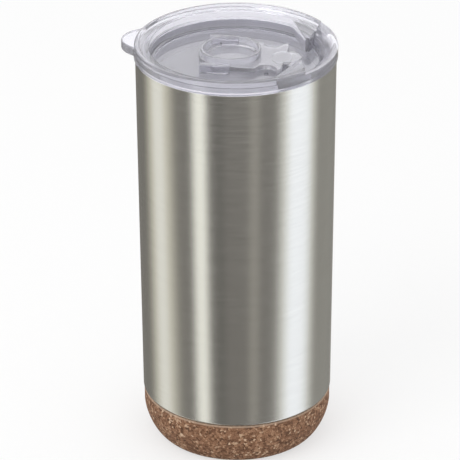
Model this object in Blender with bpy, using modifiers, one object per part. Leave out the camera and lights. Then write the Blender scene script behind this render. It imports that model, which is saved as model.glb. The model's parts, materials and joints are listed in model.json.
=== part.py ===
"""Insulated travel tumbler: a double-walled steel cup on a cork base, with a clear lid and a slide closure.

Units are metres and +Z is up. The origin is the middle of the underside, on the axis of the cup.
The sip side of the lid faces +X, and the tab that lifts the lid faces -X.
The lid is modelled seated and the slide closed.
"""

import math

import bmesh
import bpy
from mathutils import Matrix

# Fineness of the turned shapes and of the arcs in their profiles.
TURN_STEPS = 48
ARC_STEPS = 4
BORE_STEPS = 24
MERGE_DISTANCE = 0.000001
SHARP_ANGLE = math.radians(35)

# Clearance between two pieces that rest on each other or fit together.
GAP = 0.0003

# Cork base.
CORK_H = 0.0193
CORK_INSET = 0.00035
CORK_TOP_EDGE = 0.0003
CORK_ROUND_W = 0.0072
CORK_ROUND_H = 0.0135
CORK_ROUND_POWER = 1.29
CORK_POCKET_DEPTH = 0.0009
CORK_RIM_W = 0.00125
BOND_T = 0.0006

# Steel cup: outer shell, base plate and inner liner.
STEEL_H = 0.1453
BODY_TOP_R = 0.03945
BODY_BOTTOM_R = 0.03810
SHELL_WALL = 0.0006
SHELL_EDGE_ROUND = 0.0010
SHELL_LIP_W = 0.0026
VACUUM_GAP = 0.0020
LINER_WALL = 0.0005
LINER_CORNER_R = 0.0080
LINER_EDGE = 0.0002
BASE_VACUUM_H = 0.0024
PLATE_WALL = 0.0006
DIMPLE_R = 0.0080
DIMPLE_H = 0.0009
DIMPLE_SLOPE_W = 0.0016
PORT_R = 0.0008
BEAD_R = 0.0024
BEAD_H = 0.0007
GETTER_R = 0.0040
GETTER_H = 0.0012
GETTER_X = 0.0160

# Lid: flange, dished recess and the plug that goes into the cup.
FLANGE_OVERHANG = 0.00055
FLANGE_H = 0.0053
FLANGE_TOP_ROUND = 0.0010
FLANGE_FOOT_ROUND = 0.0003
CREST_W = 0.0021
CREST_STEP_H = 0.0009
RIM_BAND_W = 0.0060
RECESS_DRAFT = 0.0008
RECESS_DEPTH = 0.0075
RECESS_EDGE_DROP = 0.0015
RECESS_EDGE_ROUND = 0.0006
LID_FLOOR_T = 0.0020
PLUG_H = 0.0112
PLUG_WALL = 0.0026
PLUG_CLEARANCE = 0.0006
PLUG_EDGE = 0.0004

# Silicone ring in the plug's groove.
GROOVE_FOOT_H = 0.0022
GROOVE_H = 0.0030
GROOVE_DEPTH = 0.0012
SEAL_LIP_H = 0.0008

# Lift tab on the rim of the lid.
TAB_REACH = 0.0053
TAB_LOBE_R = 0.0105
TAB_FILLET_R = 0.0050
TAB_T = 0.0037
TAB_DROP = 0.0006
TAB_ROOT_DEPTH = 0.0016

# Shoulders and drinking scoop on the sip side.
SHOULDER_TIP_X = 0.0270
SHOULDER_TIP_Y = 0.0083
SHOULDER_TIP_ROUND = 0.0010
SHOULDER_NEAR_ANGLE = math.radians(59)
SHOULDER_FAR_ANGLE = math.radians(33)
SHOULDER_DROP = 0.0017
SHOULDER_ROOT = 0.0010
SCOOP_MOUTH_X = 0.0282
SCOOP_MOUTH_Y = 0.0092
SCOOP_FLARE_X = 0.0306
SCOOP_FLARE_Y = 0.0275
SCOOP_FOOT_R = 0.0310
SCOOP_FOOT_H = 0.0004
SCOOP_LIP_W = 0.0011
SCOOP_LIP_DROP = 0.0011

# Sip hole and the pair of vents through the floor of the recess.
SIP_X = 0.0180
SIP_HALF_X = 0.0030
SIP_HALF_Y = 0.0045
VENT_X = 0.0135
VENT_OFFSET = 0.0015
VENT_R = 0.0009

# Slide closure: base plate, finger ring, nose and side bites.
SLIDE_T = 0.0020
SLIDE_BACK_X = -0.0080
SLIDE_FRONT_X = 0.0195
SLIDE_CORNER_R = 0.0010
RING_X = -0.0020
RING_R = 0.0120
RING_WALL = 0.0014
RING_FOOT_W = 0.0006
RING_RISE = 0.0027
WELL_FLOOR_T = 0.0010
NOSE_LEAD = 0.0024
BITE_X = 0.0135
BITE_OFFSET = 0.0004
BITE_R = 0.0042
PAD_MARGIN = 0.0008
PAD_T = 0.0005

# Rails that hold the slide down on the lid.
RAIL_W = 0.0020
RAIL_LIP_W = 0.0010
RAIL_LIP_T = 0.0010
RAIL_RING_CLEARANCE = 0.0004
RAIL_BACK_X = -0.0125
RAIL_FRONT_X = -0.0005

# How far an operand of a union or a cut runs past the faces it works on.
OVERRUN = 0.0004
CUT_REACH = 0.0050

# Sizes that follow from the ones above.
CORK_R = BODY_BOTTOM_R - CORK_INSET
FLANGE_R = BODY_TOP_R + FLANGE_OVERHANG
RECESS_R = FLANGE_R - RIM_BAND_W
RAIL_Y = RING_R + RAIL_RING_CLEARANCE + RAIL_LIP_W
SLIDE_HALF_W = RAIL_Y - GAP
BITE_Y = SLIDE_HALF_W + BITE_OFFSET
VENT_Y = BITE_Y - VENT_OFFSET
NOSE_X = SIP_X + NOSE_LEAD
NOSE_R = SIP_HALF_Y + PAD_MARGIN + GAP

# Heights that follow from the sizes above.
STEEL_Z = CORK_H + GAP
RIM_Z = STEEL_Z + STEEL_H
PLATE_Z = STEEL_Z + SHELL_WALL + GAP
LINER_Z = PLATE_Z + PLATE_WALL + BASE_VACUUM_H
SEAT_Z = RIM_Z + GAP
TOP_Z = SEAT_Z + FLANGE_H
FLOOR_Z = TOP_Z - RECESS_DEPTH
PLUG_Z = SEAT_Z - PLUG_H
GROOVE_Z = PLUG_Z + GROOVE_FOOT_H
SLIDE_Z = FLOOR_Z + GAP
SLIDE_TOP_Z = SLIDE_Z + SLIDE_T


def body_radius(z):
    """Outer radius of the tapered steel body at the height z."""
    share = (z - STEEL_Z) / STEEL_H
    return BODY_BOTTOM_R + share * (BODY_TOP_R - BODY_BOTTOM_R)


def liner_radius(z):
    """Inner radius of the liner at the height z."""
    return body_radius(z) - SHELL_WALL - VACUUM_GAP - LINER_WALL


def plug_radius():
    """Outer radius of the lid's plug, which clears the narrowest part of the liner that it reaches."""
    return liner_radius(PLUG_Z) - PLUG_CLEARANCE


def arc(centre, radius, start, end, steps=ARC_STEPS):
    """Points of an arc in a plane, from the start angle to the end angle in degrees."""
    points = []
    for i in range(steps + 1):
        angle = math.radians(start + (end - start) * i / steps)
        points.append((centre[0] + radius * math.cos(angle), centre[1] + radius * math.sin(angle)))
    return points


def ellipse(centre, half_x, half_y, steps=BORE_STEPS):
    """Points of a closed ellipse."""
    points = []
    for i in range(steps):
        angle = 2 * math.pi * i / steps
        points.append((centre[0] + half_x * math.cos(angle), centre[1] + half_y * math.sin(angle)))
    return points


def rounded_corner(before, corner, after, radius, steps=ARC_STEPS):
    """Arc that replaces the corner of an outline, tangent to both of its sides."""
    to_before = (before[0] - corner[0], before[1] - corner[1])
    to_after = (after[0] - corner[0], after[1] - corner[1])
    angle_before = math.atan2(to_before[1], to_before[0])
    angle_after = math.atan2(to_after[1], to_after[0])
    opening = (angle_after - angle_before + math.pi) % (2 * math.pi) - math.pi
    middle = angle_before + opening / 2
    reach = radius / math.sin(abs(opening) / 2)
    centre = (corner[0] + reach * math.cos(middle), corner[1] + reach * math.sin(middle))
    sweep = math.copysign(math.pi - abs(opening), -opening)
    first = angle_before - math.copysign(math.pi / 2, opening)
    return arc(centre, radius, math.degrees(first), math.degrees(first + sweep), steps)


def mirrored(points):
    """The same points on the other side of the X axis, in reverse order."""
    return [(x, -y) for x, y in reversed(points)]


def collection(name):
    """New collection in the scene."""
    group = bpy.data.collections.new(name)
    bpy.context.scene.collection.children.link(group)
    return group


def turned(name, profile, group, closed=True):
    """Solid turned about the Z axis from a profile of (radius, height) points."""
    count = len(profile)
    edges = [(i, i + 1) for i in range(count - 1)]
    if closed:
        edges.append((count - 1, 0))
    mesh = bpy.data.meshes.new(name)
    mesh.from_pydata([(r, 0, z) for r, z in profile], edges, [])
    obj = bpy.data.objects.new(name, mesh)
    group.objects.link(obj)
    screw = obj.modifiers.new("turn", "SCREW")
    screw.axis = "Z"
    screw.angle = 2 * math.pi
    screw.steps = TURN_STEPS
    screw.render_steps = TURN_STEPS
    screw.use_merge_vertices = True
    screw.merge_threshold = MERGE_DISTANCE
    return obj


def prism(name, outline, low, high, group):
    """Solid with a flat outline, between two heights."""
    curve = bpy.data.curves.new(name, "CURVE")
    curve.dimensions = "2D"
    curve.fill_mode = "BOTH"
    curve.extrude = (high - low) / 2
    spline = curve.splines.new("POLY")
    spline.points.add(len(outline) - 1)
    for point, (x, y) in zip(spline.points, outline):
        point.co = (x, y, 0, 1)
    spline.use_cyclic_u = True
    sheet = bpy.data.objects.new(name + "_outline", curve)
    sheet.location.z = (low + high) / 2
    group.objects.link(sheet)
    bpy.context.view_layer.update()
    depsgraph = bpy.context.evaluated_depsgraph_get()
    mesh = bpy.data.meshes.new_from_object(sheet.evaluated_get(depsgraph))
    weld(mesh)
    obj = bpy.data.objects.new(name, mesh)
    obj.matrix_world = sheet.matrix_world.copy()
    group.objects.link(obj)
    bpy.data.objects.remove(sheet)
    return obj


def weld(mesh):
    """Join the loose caps of a filled outline to its sides and turn every face outward."""
    shape = bmesh.new()
    shape.from_mesh(mesh)
    bmesh.ops.remove_doubles(shape, verts=shape.verts, dist=MERGE_DISTANCE)
    bmesh.ops.recalc_face_normals(shape, faces=shape.faces)
    shape.to_mesh(mesh)
    shape.free()


def cylinder(name, x, y, radius, low, high, group, steps=BORE_STEPS):
    """Upright cylinder between two heights."""
    mesh = bpy.data.meshes.new(name)
    shape = bmesh.new()
    bmesh.ops.create_cone(
        shape, cap_ends=True, segments=steps, radius1=radius, radius2=radius, depth=high - low
    )
    shape.to_mesh(mesh)
    shape.free()
    obj = bpy.data.objects.new(name, mesh)
    obj.location = (x, y, (low + high) / 2)
    group.objects.link(obj)
    return obj


def block(name, low, high, group):
    """Box between two corners."""
    mesh = bpy.data.meshes.new(name)
    shape = bmesh.new()
    size = Matrix.Diagonal([high[i] - low[i] for i in range(3)] + [1])
    bmesh.ops.create_cube(shape, size=1, matrix=size)
    shape.to_mesh(mesh)
    shape.free()
    obj = bpy.data.objects.new(name, mesh)
    obj.location = [(low[i] + high[i]) / 2 for i in range(3)]
    group.objects.link(obj)
    return obj


def combine(obj, operand, operation):
    """Join an operand to the object or cut it away, and hide the operand."""
    operand.hide_render = True
    operand.display_type = "WIRE"
    step = obj.modifiers.new(operand.name, "BOOLEAN")
    step.operation = operation
    step.solver = "EXACT"
    step.object = operand


def settle(obj, material):
    """Make the modifiers' result the object's own mesh, shade it and give it its material."""
    bpy.context.view_layer.update()
    depsgraph = bpy.context.evaluated_depsgraph_get()
    mesh = bpy.data.meshes.new_from_object(obj.evaluated_get(depsgraph))
    obj.modifiers.clear()
    obj.data = mesh
    mesh.name = obj.name
    mesh.materials.clear()
    mesh.materials.append(material)
    mesh.shade_smooth()
    mesh.set_sharp_from_angle(angle=SHARP_ANGLE)


def surface(name, colour, roughness, metallic=0.0, transmission=0.0, ior=1.5):
    """Material with one Principled shader."""
    material = bpy.data.materials.new(name)
    material.use_nodes = True
    shader = material.node_tree.nodes["Principled BSDF"]
    shader.inputs["Base Color"].default_value = (*colour, 1)
    shader.inputs["Roughness"].default_value = roughness
    shader.inputs["Metallic"].default_value = metallic
    shader.inputs["Transmission Weight"].default_value = transmission
    shader.inputs["IOR"].default_value = ior
    return material


def brushed_steel():
    """Satin stainless steel of the outer shell."""
    return surface("brushed_steel", (0.55, 0.54, 0.51), 0.32, metallic=1.0)


def drawn_steel():
    """Plain drawn stainless steel of the liner."""
    return surface("drawn_steel", (0.50, 0.50, 0.50), 0.40, metallic=1.0)


def pressed_steel():
    """Pressed sheet of the base plate."""
    return surface("pressed_steel", (0.42, 0.42, 0.42), 0.45, metallic=1.0)


def getter_alloy():
    """Sintered pill that keeps the vacuum."""
    return surface("getter_alloy", (0.16, 0.16, 0.17), 0.85, metallic=0.4)


def solder_glass():
    """Fused bead that closes the pump-out port."""
    return surface("solder_glass", (0.35, 0.38, 0.36), 0.15)


def bonding_film():
    """Adhesive film under the steel."""
    return surface("bonding_film", (0.80, 0.79, 0.74), 0.60)


def pressed_cork():
    """Agglomerated cork."""
    return surface("pressed_cork", (0.38, 0.21, 0.12), 0.90)


def clear_plastic(name):
    """Clear moulded plastic with a faint cool tint."""
    return surface(name, (0.90, 0.90, 0.95), 0.06, transmission=1.0)


def silicone(name):
    """Translucent silicone rubber."""
    return surface(name, (0.86, 0.87, 0.88), 0.45, transmission=0.4, ior=1.41)


def cork_base(group):
    """Cork foot with a shallow pocket for the bond and a wide rounding under it."""
    rim_z = CORK_H - CORK_TOP_EDGE
    pocket_r = CORK_R - CORK_RIM_W
    pocket_z = CORK_H - CORK_POCKET_DEPTH
    profile = [(0, pocket_z), (pocket_r, pocket_z), (pocket_r, CORK_H)]
    profile += [(CORK_R - CORK_TOP_EDGE, CORK_H), (CORK_R, rim_z)]
    steps = 2 * ARC_STEPS
    for i in range(steps + 1):
        angle = math.pi / 2 * i / steps
        inward, upward = (abs(turn(angle)) ** CORK_ROUND_POWER for turn in (math.cos, math.sin))
        profile.append((CORK_R - CORK_ROUND_W * (1 - inward), CORK_ROUND_H * (1 - upward)))
    profile.append((0, 0))
    obj = turned("cork_base", profile, group, closed=False)
    settle(obj, pressed_cork())
    return obj


def bond_disc(group):
    """Adhesive disc in the pocket of the cork, under the lip of the shell."""
    radius = CORK_R - CORK_RIM_W - GAP
    low = CORK_H - BOND_T
    profile = [(0, CORK_H), (radius, CORK_H), (radius, low), (0, low)]
    obj = turned("bond_disc", profile, group, closed=False)
    settle(obj, bonding_film())
    return obj


def outer_shell(group):
    """Tapered steel tube, rolled in at the rim and turned in under the base plate."""
    mouth_r = liner_radius(RIM_Z) + LINER_WALL + GAP
    lip_r = body_radius(STEEL_Z) - SHELL_LIP_W
    rim = (body_radius(RIM_Z) - SHELL_EDGE_ROUND, RIM_Z - SHELL_EDGE_ROUND)
    foot = (body_radius(STEEL_Z) - SHELL_EDGE_ROUND, STEEL_Z + SHELL_EDGE_ROUND)
    inner_round = SHELL_EDGE_ROUND - SHELL_WALL
    profile = [(mouth_r, RIM_Z)]
    profile += arc(rim, SHELL_EDGE_ROUND, 90, 0)
    profile += arc(foot, SHELL_EDGE_ROUND, 0, -90)
    profile += [(lip_r, STEEL_Z), (lip_r, STEEL_Z + SHELL_WALL)]
    profile += arc(foot, inner_round, -90, 0, ARC_STEPS // 2)
    profile += arc(rim, inner_round, 0, 90, ARC_STEPS // 2)
    profile.append((mouth_r, RIM_Z - SHELL_WALL))
    obj = turned("outer_shell", profile, group)
    settle(obj, brushed_steel())
    return obj


def base_plate(group):
    """Pressed disc on the shell's lip, dished up round the pump-out port."""
    top = PLATE_Z + PLATE_WALL
    radius = body_radius(STEEL_Z) - SHELL_WALL - 2 * GAP
    crown_r = DIMPLE_R - DIMPLE_SLOPE_W
    profile = [(PORT_R, top + DIMPLE_H), (crown_r, top + DIMPLE_H), (DIMPLE_R, top), (radius, top)]
    profile += [(radius, PLATE_Z), (DIMPLE_R, PLATE_Z), (crown_r, PLATE_Z + DIMPLE_H)]
    profile.append((PORT_R, PLATE_Z + DIMPLE_H))
    obj = turned("base_plate", profile, group)
    settle(obj, pressed_steel())
    return obj


def vacuum_bead(group):
    """Bead under the pump-out port."""
    top = PLATE_Z + DIMPLE_H - GAP
    profile = [(0, top), (BEAD_R, top)]
    profile += [(BEAD_R, top - BEAD_H / 2), (BEAD_R / 2, top - BEAD_H), (0, top - BEAD_H)]
    obj = turned("vacuum_bead", profile, group, closed=False)
    settle(obj, solder_glass())
    return obj


def getter_pill(group):
    """Getter on the base plate, inside the vacuum."""
    low = PLATE_Z + PLATE_WALL + GAP
    obj = cylinder("getter_pill", GETTER_X, 0, GETTER_R, low, low + GETTER_H, group)
    settle(obj, getter_alloy())
    return obj


def inner_liner(group):
    """Inner steel cup, with a round corner between its floor and its wall."""
    floor_z = LINER_Z + LINER_WALL
    centre = (liner_radius(floor_z + LINER_CORNER_R) - LINER_CORNER_R, floor_z + LINER_CORNER_R)
    mouth_r = liner_radius(RIM_Z)
    profile = [(0, floor_z)]
    profile += arc(centre, LINER_CORNER_R, -90, 0)
    profile += [(mouth_r, RIM_Z - LINER_EDGE), (mouth_r + LINER_EDGE, RIM_Z)]
    profile.append((mouth_r + LINER_WALL, RIM_Z))
    profile += arc(centre, LINER_CORNER_R + LINER_WALL, 0, -90)
    profile.append((0, LINER_Z))
    obj = turned("inner_liner", profile, group, closed=False)
    settle(obj, drawn_steel())
    return obj


def lid_profile():
    """Half section of the lid, from the middle of its floor round to the floor's underside."""
    plug_r = plug_radius()
    inner_r = plug_r - PLUG_WALL
    crest_r = FLANGE_R - CREST_W
    edge_z = TOP_Z - RECESS_EDGE_DROP
    floor_r = RECESS_R - RECESS_DRAFT
    ceiling_z = FLOOR_Z - LID_FLOOR_T
    groove_top = GROOVE_Z + GROOVE_H
    groove_r = plug_r - GROOVE_DEPTH
    top_corner = (FLANGE_R - FLANGE_TOP_ROUND, TOP_Z - FLANGE_TOP_ROUND)
    points = [(0, FLOOR_Z), (floor_r - RECESS_EDGE_ROUND, FLOOR_Z), (floor_r, FLOOR_Z + RECESS_EDGE_ROUND)]
    points += [(RECESS_R, edge_z - RECESS_EDGE_ROUND), (RECESS_R + RECESS_EDGE_ROUND, edge_z)]
    points += [(crest_r, TOP_Z - CREST_STEP_H), (crest_r + RECESS_EDGE_ROUND, TOP_Z)]
    points += arc(top_corner, FLANGE_TOP_ROUND, 90, 0)
    points += [(FLANGE_R, SEAT_Z + FLANGE_FOOT_ROUND), (FLANGE_R - FLANGE_FOOT_ROUND, SEAT_Z)]
    points += [(plug_r, SEAT_Z), (plug_r, groove_top), (groove_r, groove_top)]
    points += [(groove_r, GROOVE_Z), (plug_r, GROOVE_Z)]
    points += [(plug_r, PLUG_Z + PLUG_EDGE), (plug_r - PLUG_EDGE, PLUG_Z)]
    points += [(inner_r, PLUG_Z), (inner_r, ceiling_z - RECESS_EDGE_ROUND)]
    points += [(inner_r - RECESS_EDGE_ROUND, ceiling_z), (0, ceiling_z)]
    return points


def tab_operand(group):
    """Round lobe on the rim, with a fillet on each side."""
    lobe_x = FLANGE_R + TAB_REACH - TAB_LOBE_R
    reach = FLANGE_R + TAB_FILLET_R
    span = TAB_LOBE_R + TAB_FILLET_R
    fillet_x = (reach ** 2 + lobe_x ** 2 - span ** 2) / (2 * lobe_x)
    fillet_y = math.sqrt(reach ** 2 - fillet_x ** 2)
    at_rim = math.degrees(math.atan2(fillet_y, fillet_x))
    at_lobe = math.degrees(math.atan2(fillet_y, fillet_x - lobe_x))
    side = arc((fillet_x, fillet_y), TAB_FILLET_R, at_rim + 180, at_lobe + 180)
    lobe = arc((lobe_x, 0), TAB_LOBE_R, at_lobe, -at_lobe, 4 * ARC_STEPS)
    root = arc((0, 0), FLANGE_R - TAB_ROOT_DEPTH, -at_rim, at_rim, 2 * ARC_STEPS)
    outline = side + lobe[1:-1] + mirrored(side) + root
    top = TOP_Z - TAB_DROP
    return prism("tab", [(-x, y) for x, y in outline], top - TAB_T, top, group)


def shoulder_operand(name, side, group):
    """Wedge between the recess and the scoop, on one side of the sip hole."""
    root_r = RECESS_R + SHOULDER_ROOT
    near = (root_r * math.cos(SHOULDER_NEAR_ANGLE), root_r * math.sin(SHOULDER_NEAR_ANGLE))
    far = (root_r * math.cos(SHOULDER_FAR_ANGLE), root_r * math.sin(SHOULDER_FAR_ANGLE))
    tip = (SHOULDER_TIP_X, SHOULDER_TIP_Y)
    outline = [near] + rounded_corner(near, tip, far, SHOULDER_TIP_ROUND) + [far]
    outline = [(x, side * y) for x, y in outline]
    return prism(name, outline, FLOOR_Z - OVERRUN, TOP_Z - SHOULDER_DROP, group)


def scoop_operand(group):
    """Sector of a cone that dishes the rim down towards the sip hole."""
    lip_r = FLANGE_R - SCOOP_LIP_W
    lip_z = TOP_Z - SCOOP_LIP_DROP
    foot_z = FLOOR_Z + SCOOP_FOOT_H
    outside_r = FLANGE_R + CUT_REACH
    above_z = TOP_Z + CUT_REACH
    inside_r = SCOOP_MOUTH_X - CUT_REACH
    profile = [(inside_r, above_z), (outside_r, above_z), (outside_r, lip_z), (lip_r, lip_z)]
    profile += [(SCOOP_FOOT_R, foot_z), (inside_r, foot_z)]
    cone = turned("scoop_cone", profile, group)
    half = [(SCOOP_MOUTH_X - OVERRUN, 0), (SCOOP_MOUTH_X, SCOOP_MOUTH_Y)]
    half += [(SCOOP_FLARE_X, SCOOP_FLARE_Y), (outside_r, SCOOP_FLARE_Y)]
    outline = mirrored(half) + half[1:]
    sector = prism("scoop_sector", outline, FLOOR_Z - CUT_REACH, TOP_Z + 2 * CUT_REACH, group)
    combine(cone, sector, "INTERSECT")
    return cone


def rail_operand(name, side, group):
    """Rail beside the slide, with a lip over the slide's edge."""
    lip_y = RAIL_Y - RAIL_LIP_W
    lip_z = SLIDE_TOP_Z + GAP
    low_y, high_y = sorted((side * lip_y, side * (RAIL_Y + RAIL_W)))
    low = (RAIL_BACK_X, low_y, FLOOR_Z - OVERRUN)
    high = (RAIL_FRONT_X, high_y, lip_z + RAIL_LIP_T)
    rail = block(name, low, high, group)
    low_y, high_y = sorted((side * RAIL_Y, side * (lip_y - OVERRUN)))
    low = (RAIL_BACK_X - OVERRUN, low_y, FLOOR_Z - CUT_REACH)
    high = (RAIL_FRONT_X + OVERRUN, high_y, lip_z)
    combine(rail, block(name + "_undercut", low, high, group), "DIFFERENCE")
    return rail


def lid_body(group, operands):
    """Clear lid: turned body with its tab, shoulders, scoop, rails, sip hole and vents."""
    low = FLOOR_Z - LID_FLOOR_T - CUT_REACH
    high = FLOOR_Z + CUT_REACH / 2
    obj = turned("lid_body", lid_profile(), group, closed=False)
    combine(obj, tab_operand(operands), "UNION")
    for name, side in (("left", 1), ("right", -1)):
        combine(obj, shoulder_operand("shoulder_" + name, side, operands), "UNION")
        combine(obj, rail_operand("rail_" + name, side, operands), "UNION")
        vent = cylinder("vent_" + name, VENT_X, side * VENT_Y, VENT_R, low, high, operands, BORE_STEPS // 2)
        combine(obj, vent, "DIFFERENCE")
    combine(obj, scoop_operand(operands), "DIFFERENCE")
    hole = prism("sip_hole", ellipse((SIP_X, 0), SIP_HALF_X, SIP_HALF_Y), low, high, operands)
    combine(obj, hole, "DIFFERENCE")
    settle(obj, clear_plastic("clear_lid_plastic"))
    return obj


def lid_gasket(group):
    """Silicone ring with two soft lips, in the groove of the plug."""
    low = GROOVE_Z + GAP
    high = GROOVE_Z + GROOVE_H - GAP
    middle = (low + high) / 2
    inner_r = plug_radius() - GROOVE_DEPTH + GAP
    outer_r = liner_radius(low) - GAP
    waist_r = (inner_r + outer_r) / 2
    profile = [(inner_r, high), (outer_r, high), (outer_r, high - SEAL_LIP_H), (waist_r, middle)]
    profile += [(outer_r, low + SEAL_LIP_H), (outer_r, low), (inner_r, low)]
    obj = turned("lid_gasket", profile, group)
    settle(obj, silicone("gasket_silicone"))
    return obj


def slide_outline():
    """Plan of the slide: ring, straight edges under the rails, side bites and round nose."""
    nose_y = math.sqrt(NOSE_R ** 2 - (NOSE_X - SLIDE_FRONT_X) ** 2)
    nose_end = math.degrees(math.atan2(nose_y, SLIDE_FRONT_X - NOSE_X))
    bite_sag = math.degrees(math.asin((BITE_Y - SLIDE_HALF_W) / BITE_R))
    foot_r = RING_R + RING_FOOT_W
    ring_y = math.sqrt(foot_r ** 2 - (RING_X - SLIDE_BACK_X) ** 2)
    ring_start = math.degrees(math.atan2(ring_y, SLIDE_BACK_X - RING_X))
    front = (SLIDE_FRONT_X, SLIDE_HALF_W)
    back = (SLIDE_BACK_X, SLIDE_HALF_W)
    half = arc((NOSE_X, 0), NOSE_R, 0, nose_end, 2 * ARC_STEPS)
    half += rounded_corner((SLIDE_FRONT_X, nose_y), front, (BITE_X, SLIDE_HALF_W), SLIDE_CORNER_R)
    half += arc((BITE_X, BITE_Y), BITE_R, -bite_sag, bite_sag - 180, 3 * ARC_STEPS)
    half += rounded_corner((BITE_X, SLIDE_HALF_W), back, (SLIDE_BACK_X, 0), SLIDE_CORNER_R)
    half += arc((RING_X, 0), foot_r, ring_start, 180, 2 * ARC_STEPS)
    return half + mirrored(half)[1:-1]


def pad_size(extra):
    """Half sizes of the pad over the sip hole, or of its pocket when extra is the gap round it."""
    return SIP_HALF_X + PAD_MARGIN + extra, SIP_HALF_Y + PAD_MARGIN + extra


def slide(group, operands):
    """Clear slide that opens and closes the sip hole."""
    obj = prism("slide", slide_outline(), SLIDE_Z, SLIDE_TOP_Z, group)
    ring_top = SLIDE_TOP_Z + RING_RISE
    well_z = SLIDE_Z + WELL_FLOOR_T
    ring = cylinder("ring", RING_X, 0, RING_R, well_z + OVERRUN, ring_top, operands, TURN_STEPS)
    combine(obj, ring, "UNION")
    well_r = RING_R - RING_WALL
    well = cylinder("well", RING_X, 0, well_r, well_z, ring_top + CUT_REACH, operands, TURN_STEPS)
    combine(obj, well, "DIFFERENCE")
    outline = ellipse((SIP_X, 0), *pad_size(GAP))
    pocket = prism("pad_pocket", outline, SLIDE_Z - CUT_REACH, SLIDE_Z + PAD_T + GAP, operands)
    combine(obj, pocket, "DIFFERENCE")
    settle(obj, clear_plastic("clear_slide_plastic"))
    return obj


def slide_pad(group):
    """Silicone pad under the slide, over the sip hole."""
    outline = ellipse((SIP_X, 0), *pad_size(0))
    obj = prism("slide_pad", outline, SLIDE_Z, SLIDE_Z + PAD_T, group)
    settle(obj, silicone("pad_silicone"))
    return obj


def frame_point(name, location, parent, group):
    """Empty on the axis of a joint."""
    empty = bpy.data.objects.new(name, None)
    empty.location = location
    group.objects.link(empty)
    if parent:
        hold([empty], parent)
    return empty


def hold(children, parent):
    """Parent the objects without moving them."""
    bpy.context.view_layer.update()
    for child in children:
        child.parent = parent
        child.matrix_parent_inverse = parent.matrix_world.inverted()


def build():
    """Make every sub-part of the tumbler."""
    for obj in list(bpy.data.objects):
        bpy.data.objects.remove(obj)
    parts = collection("travel_tumbler")
    operands = collection("operands")
    cork_base(parts)
    bond_disc(parts)
    outer_shell(parts)
    base_plate(parts)
    vacuum_bead(parts)
    getter_pill(parts)
    inner_liner(parts)
    lid_axis = frame_point("lid_axis", (0, 0, SEAT_Z), None, parts)
    hold([lid_body(parts, operands), lid_gasket(parts)], lid_axis)
    slide_track = frame_point("slide_track", (0, 0, FLOOR_Z), lid_axis, parts)
    hold([slide(parts, operands), slide_pad(parts)], slide_track)


build()
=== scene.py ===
# %% [markdown]
# # A steel travel tumbler with a clear slide lid
#
# This lesson dresses a finished CAD model of an insulated tumbler: a brushed steel cup on a cork foot,
# closed by a clear plastic lid with a small slide over its sip hole. The CAD model fixes every size and
# every joint. Each cell below replaces one coarse CAD solid with a smoother piece, or gives it a finish.
#
# Its box is kept.

# %% Load the CAD frame
import json
import math

import bmesh
import bpy
from mathutils import Matrix, Vector

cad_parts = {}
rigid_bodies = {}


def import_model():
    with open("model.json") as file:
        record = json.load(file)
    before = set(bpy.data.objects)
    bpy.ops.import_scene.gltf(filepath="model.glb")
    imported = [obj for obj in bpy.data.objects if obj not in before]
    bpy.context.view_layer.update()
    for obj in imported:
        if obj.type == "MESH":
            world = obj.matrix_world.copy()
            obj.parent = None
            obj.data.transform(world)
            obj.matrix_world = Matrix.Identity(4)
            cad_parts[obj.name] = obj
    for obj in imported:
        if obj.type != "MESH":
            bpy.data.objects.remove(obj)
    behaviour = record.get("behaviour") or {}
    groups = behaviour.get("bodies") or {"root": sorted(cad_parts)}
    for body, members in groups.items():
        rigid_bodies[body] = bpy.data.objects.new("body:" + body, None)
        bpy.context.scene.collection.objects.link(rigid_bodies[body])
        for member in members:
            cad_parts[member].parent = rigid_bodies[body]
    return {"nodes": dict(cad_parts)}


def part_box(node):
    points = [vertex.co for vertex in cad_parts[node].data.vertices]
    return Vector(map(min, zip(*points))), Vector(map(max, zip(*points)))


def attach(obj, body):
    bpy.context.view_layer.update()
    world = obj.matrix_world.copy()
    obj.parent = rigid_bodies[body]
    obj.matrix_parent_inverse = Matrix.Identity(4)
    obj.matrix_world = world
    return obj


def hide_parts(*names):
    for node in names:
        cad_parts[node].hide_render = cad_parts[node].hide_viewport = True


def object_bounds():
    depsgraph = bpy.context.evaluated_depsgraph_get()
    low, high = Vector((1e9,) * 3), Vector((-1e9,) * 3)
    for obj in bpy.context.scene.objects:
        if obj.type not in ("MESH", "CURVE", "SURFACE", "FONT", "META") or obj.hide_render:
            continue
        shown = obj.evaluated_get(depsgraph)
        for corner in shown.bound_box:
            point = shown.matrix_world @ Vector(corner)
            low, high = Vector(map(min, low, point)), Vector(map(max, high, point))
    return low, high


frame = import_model()
cad_low, cad_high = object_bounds()


def in_mm(lengths):
    """Lengths in millimetres, rounded for printing."""
    return [round(1000 * length, 2) for length in lengths]


print("CAD box in mm:", in_mm(cad_high - cad_low))

# %% [markdown]
# ## Reading sizes from the CAD
#
# A turned part is described by radii and heights. The boxes of the nodes give most of them. A tapered
# wall has a different radius at each height, so a small helper measures the widest point of a node near
# one height. Reading sizes this way, and not typing them again, keeps the pieces in register.

# %% Measure the turned parts
ON_LEVEL = 0.0004
ABOVE_FOOT = 0.0010
SEAT_GAP = 0.0001


def radius_near(node, height, reach=ON_LEVEL):
    """Greatest distance from the axis among a node's points near one height."""
    points = [vertex.co for vertex in frame["nodes"][node].data.vertices]
    return max(point.to_2d().length for point in points if abs(point.z - height) <= reach)


shell_low, shell_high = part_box("outer_shell")
liner_low, liner_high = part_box("inner_liner")
cork_low, cork_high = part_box("cork_base")
lid_low, lid_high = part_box("lid_body")
slide_low, slide_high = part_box("slide")

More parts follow.
